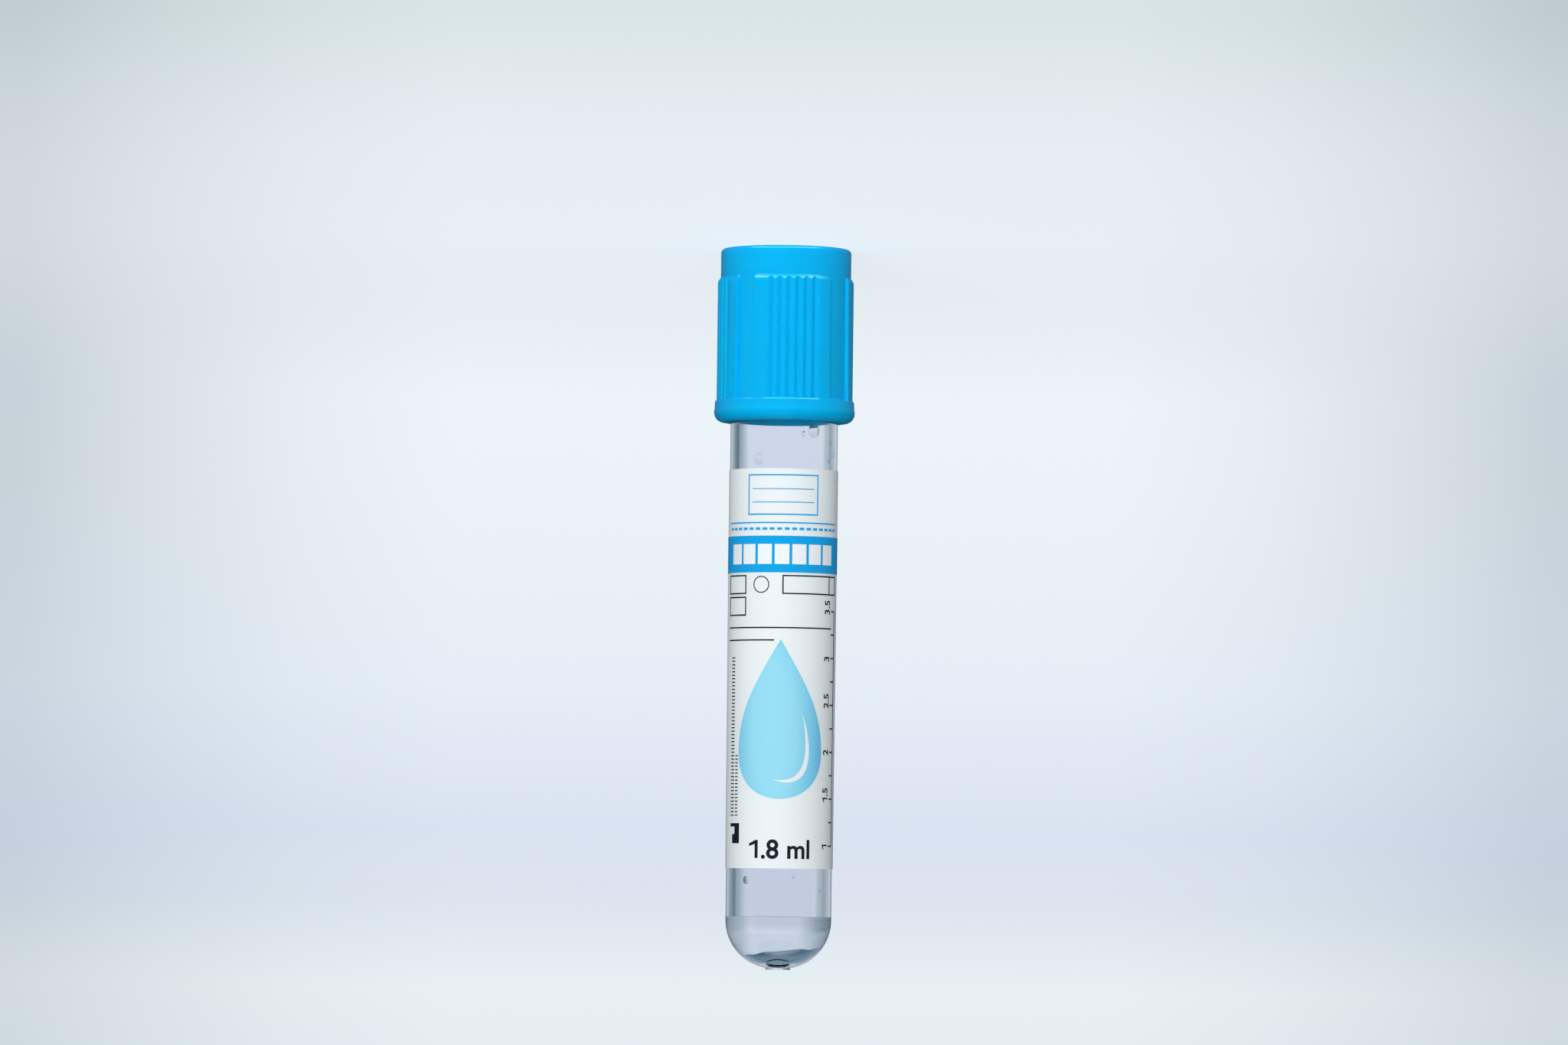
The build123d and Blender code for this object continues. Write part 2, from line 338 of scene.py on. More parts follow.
# %% [markdown]
# ## The cap
# A thick lip under a thin wall, a flat top with a round opening, and a collar down to
# the rubber. Four grip pads stand out from the wall, each cut by six sharp grooves, so
# the wall is spun in half-degree steps and its skin is then pushed out or left.

# %% The cap's section
lip_radius = 8.5
lip_flare = 0.38
lip_rounding = 1.15
lip_top_rounding = 0.3
lip_lead_in = 1.1
lip_widest = cap_start + 1.4
lip_top = cap_start + 2.7
lip_taper = 0.1
cap_top_rounding = 0.5
cap_top_inside = cap_end - 1.2
port_radius = 4.0
port_wall = 1.0
port_rounding = 0.3
collar_rounding = 0.1
inner_rounding = 0.3
mouth_rounding = 0.2
head_start = tube_length + 0.02
head_end = head_start + 7.2
bead_start = tube_length + 2.4
bead_end = bead_start + 1.4
bead_relief = 0.35
pad_top = cap_end - 3.5
pad_shoulder = 0.7
pad_edge = pad_top + 0.05
shoulder_start = pad_top - pad_shoulder
cap_wire = section(
    [
        (cap_bore_radius + lip_flare, cap_start, 0),
        (lip_radius, cap_start, lip_rounding),
        (lip_radius, lip_widest, 0),
        (lip_radius - lip_taper / 2, lip_widest + lip_taper, 0),
        (lip_radius - lip_taper, lip_top, lip_top_rounding),
        (cap_radius, lip_top, 0),
        (cap_radius, shoulder_start, 0),
        (cap_radius, pad_edge, 0),
        (cap_radius, cap_end, cap_top_rounding),
        (port_radius, cap_end, port_rounding),
        (port_radius, head_end, collar_rounding),
        (port_radius + port_wall, head_end, collar_rounding),
        (port_radius + port_wall, cap_top_inside, 0),
        (cap_bore_radius, cap_top_inside, inner_rounding),
        (cap_bore_radius, bead_end, 0),
        (cap_bore_radius - bead_relief, bead_end - bead_relief, 0),
        (cap_bore_radius - bead_relief, bead_start + bead_relief, 0),
        (cap_bore_radius, bead_start, 0),
        (cap_bore_radius, cap_start + lip_lead_in, mouth_rounding),
    ],
    closed=True,
)
hair = 0.001  # the slack in which two places count as one


def on_shoulder(vert):
    """True for the stretch of outer wall where the tops of the pads slope in."""
    on_wall = abs(vert.co.x - cap_radius) < hair
    return on_wall and shoulder_start - hair < vert.co.z < pad_edge + hair


shoulder_edges = [edge for edge in cap_wire.edges if all(map(on_shoulder, edge.verts))]
bmesh.ops.subdivide_edges(cap_wire, edges=shoulder_edges, cuts=16)
cap_skin = spun(cap_wire, steps=720)
print("cap skin", len(cap_skin.verts), "points")

# %% Pads and grooves
pad_relief = 0.355
pad_draft = 0.11
pad_span = 69.0
pad_centres = (6.5, 100.5, 186.5, 280.5)
grooves_per_pad = 6
groove_pitch = 7.7
groove_crest = 0.7
groove_root = 0.05
edge_softness = 0.3  # degrees over which an edge is averaged


def relief(angle, height):
    """How far the cap's skin stands out from the plain wall."""
    for centre in pad_centres:
        off = (angle - centre + 180) % 360 - 180
        if abs(off) <= pad_span / 2:
            break
    else:
        return 0.0
    up = (height - lip_top) / (shoulder_start - lip_top)
    face = pad_relief + pad_draft * (1 - min(1, up))
    face *= sin(min(1, max(0, (pad_top - height) / pad_shoulder)) * pi / 2)
    first_groove = -groove_pitch * (grooves_per_pad - 1) / 2
    nearest = min(abs(off - first_groove - groove_pitch * n) for n in range(grooves_per_pad))
    half = (groove_pitch - groove_crest) / 2
    cut = groove_root + (pad_relief - groove_root) * sin(min(1, nearest / half) * pi / 2)
    return min(face, cut) if abs(off) < groove_pitch * grooves_per_pad / 2 else face


for vert in cap_skin.verts:
    radius = Vector(vert.co.xy).length
    if radius > cap_radius - hair and lip_top - lip_top_rounding < vert.co.z < pad_top:
        angle = degrees(atan2(vert.co.x, -vert.co.y))
        nearby = (angle - edge_softness, angle, angle + edge_softness)
        push = sum(relief(place, vert.co.z) for place in nearby) / 3
        vert.co.xy *= max(1, (cap_radius + push) / radius)
bmesh.ops.remove_doubles(cap_skin, verts=cap_skin.verts, dist=merge_distance)
bmesh.ops.recalc_face_normals(cap_skin, faces=cap_skin.faces)
cap_piece = finished(cap_skin, "cap", cap_plastic, "closure", sharp=28)
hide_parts("cap_shell")

# %% [markdown]
# ## Rubber stopper
# The rubber is matt and dark. Its plug has two sealing rings and a hollow, and its head
# fills the cap behind a snap bead. It is hidden until the cap is pulled, and then the
# same spin as for the tube shows all of it.

# %% Rubber
stopper_rubber, tree, shader = new_material("stopper_rubber")
shader.inputs["Specular IOR Level"].default_value = 0.35
add_unevenness(
    tree,
    shader,
    size=2500,
    roughness=(0.6, 0.8),
    relief=0.00001,
    colours=(srgb(62, 66, 70), srgb(74, 78, 82)),
)

# %% The stopper
plug_end = tube_length - 7.6
seal_radius = bore_radius(plug_end) - 0.05
seal_width = 1.5
plug_radius = seal_radius - 0.25
clearance = 0.01
head_radius = cap_bore_radius - clearance
head_top = head_end - clearance
groove_radius = head_radius - bead_relief
well_radius = 3.2
well_floor = head_end - 1.2
well_floor_radius = 2.6
hollow_radius = 3.0
hollow_end = well_floor - 3.6
bead_edge, soft_edge, round_edge = 0.1, 0.2, 0.3
stopper_wire = section(
    [
        (hollow_radius, plug_end, soft_edge),
        (plug_radius, plug_end, round_edge),
        (seal_radius, plug_end + seal_width / 2, round_edge),
        (seal_radius, plug_end + seal_width, round_edge),
        (plug_radius, plug_end + seal_width * 1.5, soft_edge),
        (plug_radius, tube_length - seal_width * 1.5, soft_edge),
        (seal_radius, tube_length - seal_width, soft_edge),
        (seal_radius, head_start, 0),
        (head_radius, head_start, soft_edge),
        (head_radius, bead_start, bead_edge),
        (groove_radius, bead_start + bead_relief, bead_edge),
        (groove_radius, bead_end - bead_relief, bead_edge),
        (head_radius, bead_end, bead_edge),
        (head_radius, head_top, soft_edge),
        (well_radius, head_top, (soft_edge + round_edge) / 2),
        (well_floor_radius, well_floor, round_edge),
        (0, well_floor, 0),
        (0, hollow_end, 0),
        (hollow_radius * 2 / 3, hollow_end, soft_edge),
        (hollow_radius, hollow_end - hollow_radius / 3, round_edge),
    ],
    closed=True,
)
stopper_skin = spun(stopper_wire, steps=128)
stopper_piece = finished(
    stopper_skin,
    "stopper_rubber",
    stopper_rubber,
    "closure",
)
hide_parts("stopper")

# %% [markdown]
# ## Liquid
# A little additive is held in the round end, which is so narrow that the liquid's own
# skin carries it, and a few droplets cling to the wall. A bubble of air is caught against
# the end, so the liquid has a wavy lower skin. The section is spun flat first, and then
# its points are moved on to that skin and on to the rounding of the bore.

# %% Liquid finish
liquid, tree, shader = new_material("liquid")
shader.inputs["Base Color"].default_value = (0.985, 0.992, 1, 1)
shader.inputs["Transmission Weight"].default_value = 1.0
shader.inputs["IOR"].default_value = 1.31
add_unevenness(tree, shader, size=400, roughness=(0.0, 0.01), relief=0.000001)

# %% The fill in the round end
fill_level = 6.2
meniscus = 0.03
meniscus_width = 0.25
meniscus_rounding = 0.2
overlap = 0.02
pocket_height = 2.7
ripple = 0.1
rim_guess = 3.8  # where the search for the edge of the lower skin starts


def pocket(x, y):
    """Height of the liquid's lower skin: tilted, with a slight ripple."""
    waves = ripple * sin(2.1 * x + 0.6) * cos(1.3 * y)
    return pocket_height + 0.09 * x + waves + 0.05 * y


def wall_radius(height):
    """The bore's radius in its rounding, a touch inside the plastic."""
    bulge = (bore_rounding**2 - (bore_foot - height) ** 2) ** 0.5
    return bore_foot_radius - bore_rounding + bulge + overlap


disc_mark = -1  # a stand-in height for the lower skin; 0 to 1 stand for the rounded wall
disc_steps, wall_steps = 16, 14
edge_level = fill_level + meniscus
lower_skin = [(n / disc_steps, disc_mark, 0) for n in range(disc_steps + 1)]
rounded_wall = [(1, n / wall_steps, 0) for n in range(1, wall_steps + 1)]
upper_skin = [
    (bore_radius(edge_level) + overlap, edge_level, 0),
    (bore_foot_radius - meniscus_width, fill_level, meniscus_rounding),
    (0, fill_level, 0),
]
fill_skin = spun(section(lower_skin + rounded_wall + upper_skin), steps=160)
for vert in fill_skin.verts:
    if vert.co.z > 1 + hair:
        continue
    way, along = Vector((*vert.co.xy, 0)), vert.co.z
    heading = way.normalized()
    rim = rim_guess
    for _ in range(6):
        rim = wall_radius(pocket(rim * heading.x, rim * heading.y))
    if along < 0:
        spot = way * rim
        vert.co = (spot.x, spot.y, pocket(spot.x, spot.y))
    else:
        low = pocket(rim * heading.x, rim * heading.y)
        height = low + (bore_foot - low) * along
        vert.co = heading * wall_radius(height) + Vector((0, 0, height))
bmesh.ops.recalc_face_normals(fill_skin, faces=fill_skin.faces)
fill_piece = finished(fill_skin, "liquid_fill", liquid, "tube_body")
fill_piece.visible_shadow = False
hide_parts("additive_liquid")

# %% Droplets on the inside of the wall
droplet_stretch = 1.15


def droplet(bm, height, angle, size, stand):
    """A shallow cap of liquid on the bore; its flat back lies just inside the wall."""
    made = bmesh.ops.create_uvsphere(bm, u_segments=32, v_segments=16, radius=1)["verts"]
    for vert in made:
        across, up, out = vert.co
        bore = bore_radius(height)
        depth = -overlap if out < 0 else stand * (1 - across**2 - up**2)
        turn = degrees(across * size / bore)
        rise = up * size * droplet_stretch
        vert.co = around(angle + turn, bore - depth, height + rise)


droplets = bmesh.new()
for height, angle, size, stand in (
    (64.7, 38, 0.75, 0.11),
    (64.2, 24, 0.3, 0.06),
    (63.3, 66, 0.26, 0.07),
    (62.0, 73, 0.32, 0.08),
    (61.1, 63, 0.2, 0.05),
    (61.2, -31, 0.6, 0.07),
    (10.6, -44, 0.42, 0.03),
    (9.4, 58, 0.22, 0.05),
    (11.1, 18, 0.2, 0.05),
):
    droplet(droplets, height, angle, size, stand)
droplet_piece = finished(droplets, "droplets", liquid, "tube_body")
droplet_piece.visible_shadow = False

# %% [markdown]
# ## Label paper
# Coated white paper: a soft sheen, and fibres that only show in raking light. It wraps
# the tube and leaves a clear window at the back, so a line along the wall is spun through
# less than a full turn, and solidify gives the sheet its thickness.

# %% Paper and label
label_paper, tree, shader = new_material("label_paper")
shader.inputs["Specular IOR Level"].default_value = 0.4
add_unevenness(
    tree,
    shader,
    size=3000,
    roughness=(0.42, 0.55),
    relief=0.000008,
    colours=(srgb(236, 243, 245), srgb(240, 246, 248)),
)

label_ease = 1.0015  # the paper lies this much clear of the plastic
label_wire = section(
    [
        (outer_radius(label_start), label_start, 0),
        (outer_radius(label_end), label_end, 0),
    ]
)
bmesh.ops.subdivide_edges(label_wire, edges=label_wire.edges[:], cuts=12)
start_turn = Matrix.Rotation(radians(-90 - label_reach), 3, "Z")
bmesh.ops.rotate(label_wire, matrix=start_turn, verts=label_wire.verts)
label_sheet = spun(label_wire, steps=220, turn=2 * label_reach)
for face in label_sheet.faces:
    outwards = Vector((*face.calc_center_median().xy, 0))
    if face.normal.dot(outwards) < 0:
        face.normal_flip()
bmesh.ops.scale(label_sheet, vec=(label_ease, label_ease, 1), verts=label_sheet.verts)
bmesh.ops.solidify(label_sheet, geom=label_sheet.faces[:], thickness=-paper)
label_piece = finished(label_sheet, "label_paper", label_paper, "tube_body")
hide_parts("label")

# %% [markdown]
# ## Wrapping print round the tube
# Print is drawn flat, in millimetres across and up, sliced into narrow strips so that it
# can bend, given a film's thickness and then rolled on to the label.

# %% Helper: roll a flat drawing on to the label
face_radius = 6.53
line_width = 0.16
strip_width = 0.3


def flat_bar(bm, left, low, width, height):
    """A flat rectangle of print."""
    made = bmesh.ops.create_grid(bm, x_segments=1, y_segments=1, size=0.5)["verts"]
    bmesh.ops.scale(bm, vec=(width, height, 1), verts=made)
    bmesh.ops.translate(bm, vec=(left + width / 2, low + height / 2, 0), verts=made)


def flat_frame(bm, left, low, width, height):
    """An outlined box of print."""
    for edge in (low, low + height - line_width):
        flat_bar(bm, left, edge, width, line_width)
    for edge in (left, left + width - line_width):
        flat_bar(bm, edge, low + line_width, line_width, height - 2 * line_width)


def rolled(bm, film=0.02, lift=0.006):
    """Slices, thickens and rolls a flat drawing round the tube's face."""
    strips = int(max(abs(v.co.x) for v in bm.verts) / strip_width)
    for n in range(-strips, strips + 1):
        bmesh.ops.bisect_plane(
            bm,
            geom=bm.verts[:] + bm.edges[:] + bm.faces[:],
            plane_co=(n * strip_width, 0, 0),
            plane_no=(1, 0, 0),
        )
    for face in bm.faces:
        if face.normal.z > 0:
            face.normal_flip()
    bmesh.ops.solidify(bm, geom=bm.faces[:], thickness=film)
    flat = bm.loops.layers.uv.new("flat_drawing")
    for face in bm.faces:
        for loop in face.loops:
            loop[flat].uv = loop.vert.co.xy
    low = min(v.co.z for v in bm.verts)
    for vert in bm.verts:
        x, y, z = vert.co
        radius = outer_radius(y) * label_ease + paper + lift + z - low
        vert.co = around(degrees(x / face_radius), radius, y)
    bmesh.ops.recalc_face_normals(bm, faces=bm.faces)
    return bm


# %% [markdown]
# ## Inks
# Ink sinks into the coating, so it is a touch uneven and less glossy than the paper.

# %% Inks
ink_grain = 2200
ink_roughness = (0.45, 0.6)
ink_relief = 0.000003


def ink(name, thin, full):
    """A printed colour that varies slightly between two tones."""
    material, tree, shader = new_material(name)
    shader.inputs["Specular IOR Level"].default_value = 0.35
    add_unevenness(
        tree,
        shader,
        size=ink_grain,
        roughness=ink_roughness,
        relief=ink_relief,
        colours=(thin, full),
    )
    return material


band_ink = ink("band_ink", srgb(2, 170, 238), srgb(0, 162, 230))
dark_ink = ink("dark_ink", srgb(26, 30, 46), srgb(16, 20, 36))
white_ink = ink("white_ink", srgb(240, 246, 248), srgb(244, 249, 251))

# %% Blue print: band, rule and write-in frame
margin = 8.2
rule_gap = 1.5
band_low = label_end - 12.5
band_height = 4.4
frame_low = label_end - 5.6
frame_width = 9.0
frame_height = 4.9
blue = bmesh.new()
reach = radians(label_reach) * face_radius
flat_bar(blue, -reach, band_low, 2 * reach, band_height)
flat_bar(blue, -margin, band_low + band_height + rule_gap, 2 * margin, line_width)
flat_frame(blue, -frame_width / 2, frame_low, frame_width, frame_height)
blue_piece = finished(rolled(blue), "blue_print", band_ink, "tube_body")
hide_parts("label_band")

# %% Fine blue print: a row of dashes, and two lines to write on in the frame
dash_start = -7.9
dash_count = 18
dash_pitch = 0.9
dash_length = 0.6
dash_height = 0.3
dash_low = band_low + 5.1
fine_line = 0.1
fine_line_width = 7.8
dashes = bmesh.new()
for n in range(dash_count):
    flat_bar(dashes, dash_start + n * dash_pitch, dash_low, dash_length, dash_height)
for up in (1.5, 3.1):
    flat_bar(dashes, -fine_line_width / 2, frame_low + up, fine_line_width, fine_line)
finished(rolled(dashes), "blue_dashes", band_ink, "tube_body")

# %% White cells in the band
cell_start = -7.25
cell_count = 7
cell_pitch = 2.1
cell_width = 1.75
cell_height = 2.4
cell_low = band_low + (band_height - cell_height) / 2
cells = bmesh.new()
for n in range(cell_count):
    flat_bar(cells, cell_start + n * cell_pitch, cell_low, cell_width, cell_height)
finished(rolled(cells, lift=0.03), "band_cells", white_ink, "tube_body")

# %% Dark print: boxes, writing rules and a fill scale
row_low = label_end - 17.7
row_height = 2.3
upper_row = row_low + 2.6
small_box, wide_box = 3.5, 8.4
tick = 0.9
scale_low = label_start + 2.7
scale_step = 2.82
scale_marks = 11
dark = bmesh.new()
for low in (row_low, upper_row):
    flat_frame(dark, -margin, low, small_box, row_height)
flat_frame(dark, 0.0, upper_row, wide_box, row_height)
flat_bar(dark, -margin, row_low - rule_gap, 2 * margin - tick, line_width)
flat_bar(dark, -margin, row_low - 2 * rule_gap, margin - tick, line_width)
flat_bar(dark, margin, scale_low, line_width, scale_step * (scale_marks - 1) + line_width)
for n in range(scale_marks):
    flat_bar(dark, margin - tick, scale_low + n * scale_step, tick + line_width, line_width)
dark_piece = finished(rolled(dark), "dark_print", dark_ink, "tube_body")
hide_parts("label_marks")


# %% Helper: figures and curved outlines as flat mesh
def leading_one(shape, high, bold):
    """Puts a figure one with a flag and a straight stem in front of the other figures."""
    right = min((v.co.x for v in shape.verts), default=0) - 0.2 * high
    stem = 0.13 * high + 2 * bold
    left = right - stem
    points = [
        shape.verts.new((right, 0, 0)),
        shape.verts.new((right, high, 0)),
        shape.verts.new((left - 0.1 * high + 0.8 * stem, high, 0)),
        shape.verts.new((left - 0.36 * high, 0.8 * high, 0)),
        shape.verts.new((left - 0.36 * high, 0.66 * high, 0)),
        shape.verts.new((left, 0.78 * high, 0)),
        shape.verts.new((left, 0, 0)),
    ]
    figure = shape.faces.new(points)
    figure.normal_update()
    bmesh.ops.triangulate(shape, faces=[figure])


def flattened(bm, curve, turn=0.0, corner=None, width=None, one=None):
    """Adds a text or a flat curve; a corner and a width, if given, place and fit it."""
    holder = bpy.data.objects.new("outline", curve)
    mesh = bpy.data.meshes.new_from_object(holder)
    shape = bmesh.new()
    shape.from_mesh(mesh)
    if one:
        leading_one(shape, *one)
    bmesh.ops.remove_doubles(shape, verts=shape.verts, dist=hair)
    bmesh.ops.rotate(shape, matrix=Matrix.Rotation(radians(turn), 3, "Z"), verts=shape.verts)
    low = Vector([min(v.co[k] for v in shape.verts) for k in (0, 1)] + [0])
    high = Vector([max(v.co[k] for v in shape.verts) for k in (0, 1)] + [0])
    if width:
        grow = width / (high.x - low.x)
        bmesh.ops.translate(shape, vec=-low, verts=shape.verts)
        bmesh.ops.scale(shape, vec=(grow, grow, 1), verts=shape.verts)
        low = Vector((0, 0, 0))
    if corner:
        bmesh.ops.translate(shape, vec=Vector((*corner, 0)) - low, verts=shape.verts)
    shape.to_mesh(mesh)
    bm.from_mesh(mesh)
    shape.free()
    bpy.data.objects.remove(holder)
    bpy.data.curves.remove(curve)
    bpy.data.meshes.remove(mesh)


def figures(words, size, bold=0.0):
    """A text curve in plain figures; bold is how far each stroke is fattened."""
    curve = bpy.data.curves.new("figures", "FONT")
    curve.body, curve.size, curve.offset = words, size, bold
    curve.resolution_u = 5
    return curve


def outline(*loops):
    """A filled flat curve from loops of (knot, handle before, handle after)."""
    curve = bpy.data.curves.new("outline", "CURVE")
    curve.dimensions, curve.fill_mode, curve.resolution_u = "2D", "BOTH", 20
    for loop in loops:
        spline = curve.splines.new("BEZIER")
        spline.bezier_points.add(len(loop) - 1)
        spline.use_cyclic_u = True
        for point, (knot, before, after) in zip(spline.bezier_points, loop):
            point.handle_left_type = point.handle_right_type = "FREE"
            point.co = (*knot, 0)
            point.handle_left, point.handle_right = (*before, 0), (*after, 0)
    return curve


# %% Fill mark and scale figures
mark_bold = 0.055
mark_height = 2.05
mark_width = 7.7
mark_corner = (-3.85, label_start + 1.15)
volume = bmesh.new()
curve = figures(".8 ml", size=3.0, bold=mark_bold)
flattened(volume, curve, corner=mark_corner, width=mark_width, one=(mark_height, mark_bold))
finished(rolled(volume), "fill_mark", dark_ink, "tube_body")

scale_bold = 0.02
figure_height = 1.02
figure_left = 5.9
figure_drop = 0.3
scale_figures = bmesh.new()
for n in range(0, scale_marks, 2):
    words = f"{1 + n / 4:g}"
    one = (figure_height, scale_bold) if words[0] == "1" else None
    spot = (figure_left, scale_low + n * scale_step - figure_drop)
    curve = figures(words[1:] if one else words, size=1.5, bold=scale_bold)
    flattened(scale_figures, curve, turn=90, corner=spot, one=one)
finished(rolled(scale_figures), "scale_figures", dark_ink, "tube_body")

# %% Ring between the boxes
ring_radius = 1.02
ring_line = 0.12
ring_place = -2.6
ring_height = upper_row + row_height / 2
fine = bmesh.new()
bmesh.ops.create_circle(fine, cap_ends=True, segments=64, radius=ring_radius)
bmesh.ops.inset_region(
    fine,
    faces=fine.faces[:],
    thickness=ring_line,
    use_boundary=True,
    use_even_offset=True,
)
ring_middle = [face for face in fine.faces if len(face.verts) > 4]
bmesh.ops.delete(fine, geom=ring_middle, context="FACES_ONLY")
bmesh.ops.translate(fine, vec=(ring_place, ring_height, 0), verts=fine.verts)

# %% Stepped block and two columns of ticks up the left margin, and the wide box's divider
edge_left = -7.35
block_low = label_start + 3.0
flat_bar(fine, edge_left + 0.95, block_low, 0.9, 2.4)
flat_bar(fine, edge_left, block_low + 2.0, 0.95, 0.4)
flat_bar(fine, edge_left + 0.45, block_low, 0.5, 1.1)
ticks_low = block_low + 3.3
fine_pitch = 0.42
fine_tick = 0.13
for left, width, count in ((edge_left, 0.75, 46), (edge_left + 1.0, 0.5, 18)):
    for n in range(count):
        flat_bar(fine, left, ticks_low + n * fine_pitch, width, fine_tick)
divider = 6.65
flat_bar(fine, divider, upper_row, line_width, row_height)
finished(rolled(fine), "fine_marks", dark_ink, "tube_body")

# %% [markdown]
# ## The drop figure
# A light blue drop in a halftone screen, darker towards its edge, with a bare white
# highlight. A filled Bezier curve is the easy way to such an outline: one loop is the
# drop, and the loop inside it is left open, so that the paper shows.

# %% Halftone ink
drop_ink, tree, shader = new_material("drop_ink")
shader.inputs["Specular IOR Level"].default_value = 0.3
add_unevenness(tree, shader, size=ink_grain, roughness=ink_roughness, relief=ink_relief)
drawing = add_node(tree, "ShaderNodeUVMap", uv_map="flat_drawing")
centring = add_node(tree, "ShaderNodeMapping", vector_type="TEXTURE")
centring.inputs["Location"].default_value = (-0.9, 28.5, 0)
centring.inputs["Scale"].default_value = (7.0, 20.0, 1)
depth = add_node(tree, "ShaderNodeTexGradient", gradient_type="SPHERICAL")
tone = add_node(tree, "ShaderNodeValToRGB")
tone.color_ramp.elements.new(0.5)
tones = ((0.0, srgb(58, 172, 226)), (0.33, srgb(112, 206, 240)), (0.62, srgb(142, 220, 243)))
for point, (value, colour) in zip(tone.color_ramp.elements, tones):
    point.position, point.color = value, colour
screen = add_node(tree, "ShaderNodeMapping", Rotation=(0, 0, radians(45)), Scale=(5.2, 5.2, 1))
dots = add_node(tree, "ShaderNodeTexVoronoi", Scale=1.0, Randomness=0.0)
spread = add_node(tree, "ShaderNodeMapRange", From_Min=0.1, From_Max=0.62, To_Min=0.0, To_Max=0.3)
tree.links.new(drawing.outputs["UV"], centring.inputs["Vector"])
tree.links.new(centring.outputs[0], depth.inputs["Vector"])
tree.links.new(depth.outputs["Fac"], tone.inputs["Fac"])
tree.links.new(drawing.outputs["UV"], screen.inputs["Vector"])
tree.links.new(screen.outputs[0], dots.inputs["Vector"])
tree.links.new(dots.outputs["Distance"], spread.inputs["Value"])
screened = mixed(tree, spread.outputs["Result"], tone.outputs["Color"], srgb(196, 236, 248))
tree.links.new(screened, shader.inputs["Base Color"])

# %% The drop, with its highlight left open to the paper
drop = bmesh.new()
wide, middle, foot, tip = 5.62, 25.8, 20.35, 39.5
drop_outline = [
    ((0, tip), (-3.6, 33.2), (3.6, 33.2)),
    ((wide, middle), (wide, 30.4), (wide, 22.8)),
    ((0, foot), (3.1, foot), (-3.1, foot)),
    ((-wide, middle), (-wide, 22.8), (-wide, 30.4)),
]
highlight = [
    ((2.71, 30.7), (3.95, 25.2), (4.95, 25.0)),
    ((-0.88, 22.7), (3.3, 21.0), (2.95, 22.0)),
]
flattened(drop, outline(drop_outline, highlight))
drop_shift = -0.1
bmesh.ops.translate(drop, vec=(drop_shift, 0, 0), verts=drop.verts)
drop_piece = finished(rolled(drop), "drop_figure", drop_ink, "tube_body")
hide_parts("label_drop")

# %% [markdown]
# ## Studio
# A pale table under a pale, even surround. Clear plastic shows its shape only where it
# bends something darker into view. Light Path tells what kind of ray meets the surround,
# so the camera sees a pale backdrop, gloss and clear plastic see panels that darken to
# both sides, and the lighting stays plain.

# %% Floor
floor_drop = 0.00002
floor_bm = bmesh.new()
bmesh.ops.create_circle(floor_bm, cap_ends=True, segments=96, radius=0.6)
floor_mesh = bpy.data.meshes.new("table")
floor_bm.to_mesh(floor_mesh)
floor_bm.free()
floor = bpy.data.objects.new("table", floor_mesh)
floor.location.z = -floor_drop
bpy.context.scene.collection.objects.link(floor)
floor.visible_glossy = False  # the sides of the cap reflect the darker surround instead

table, tree, shader = new_material("table")
shader.inputs["Base Color"].default_value = srgb(236, 243, 247)
shader.inputs["Roughness"].default_value = 0.7
shader.inputs["Specular IOR Level"].default_value = 0.1
shader.inputs["Emission Color"].default_value = srgb(236, 243, 248)
shader.inputs["Emission Strength"].default_value = 0.56
here = add_node(tree, "ShaderNodeTexCoord")
distance = add_node(tree, "ShaderNodeVectorMath", operation="LENGTH")
fade = add_node(
    tree,
    "ShaderNodeMapRange",
    interpolation_type="SMOOTHSTEP",
    From_Min=0.02,
    From_Max=0.34,
    To_Min=0.45,
    To_Max=0.0,
)
clear = add_node(tree, "ShaderNodeBsdfTransparent")
mix = add_node(tree, "ShaderNodeMixShader")
tree.links.new(here.outputs["Object"], distance.inputs[0])
tree.links.new(distance.outputs["Value"], fade.inputs["Value"])
tree.links.new(fade.outputs["Result"], mix.inputs[0])
tree.links.new(clear.outputs[0], mix.inputs[1])
tree.links.new(shader.outputs[0], mix.inputs[2])
tree.links.new(mix.outputs[0], tree.nodes["Material Output"].inputs["Surface"])
floor_mesh.materials.append(table)

# %% Surround: nodes that turn a direction into an angle round and a height
world = bpy.data.worlds.new("surround")
bpy.context.scene.world = world
world.use_nodes = True
tree = world.node_tree
tree.nodes.clear()
direction = add_node(tree, "ShaderNodeTexCoord")
split = add_node(tree, "ShaderNodeSeparateXYZ")
heading = add_node(tree, "ShaderNodeMath", operation="ARCTAN2")
tree.links.new(direction.outputs["Generated"], split.inputs[0])
tree.links.new(split.outputs["X"], heading.inputs[0])
tree.links.new(split.outputs["Y"], heading.inputs[1])


def shade_ramp(source, low, high, stops):
    """A colour ramp over a value from low to high; stops are (value, colour)."""
    scaled = add_node(tree, "ShaderNodeMapRange", From_Min=low, From_Max=high)
    ramp = add_node(tree, "ShaderNodeValToRGB")
    points = ramp.color_ramp.elements
    while len(points) < len(stops):
        points.new(0.5)
    for point, (value, colour) in zip(points, stops):
        point.position, point.color = (value - low) / (high - low), colour
    tree.links.new(source, scaled.inputs["Value"])
    tree.links.new(scaled.outputs["Result"], ramp.inputs["Fac"])
    return ramp.outputs["Color"]


def times(first, second):
    """The product of two colours."""
    return mixed(tree, 1.0, first, second, "MULTIPLY")


def grey(value, blue=0.0):
    """A neutral factor, with a little more blue if asked."""
    return (value, value + blue * 0.5, value + blue, 1)


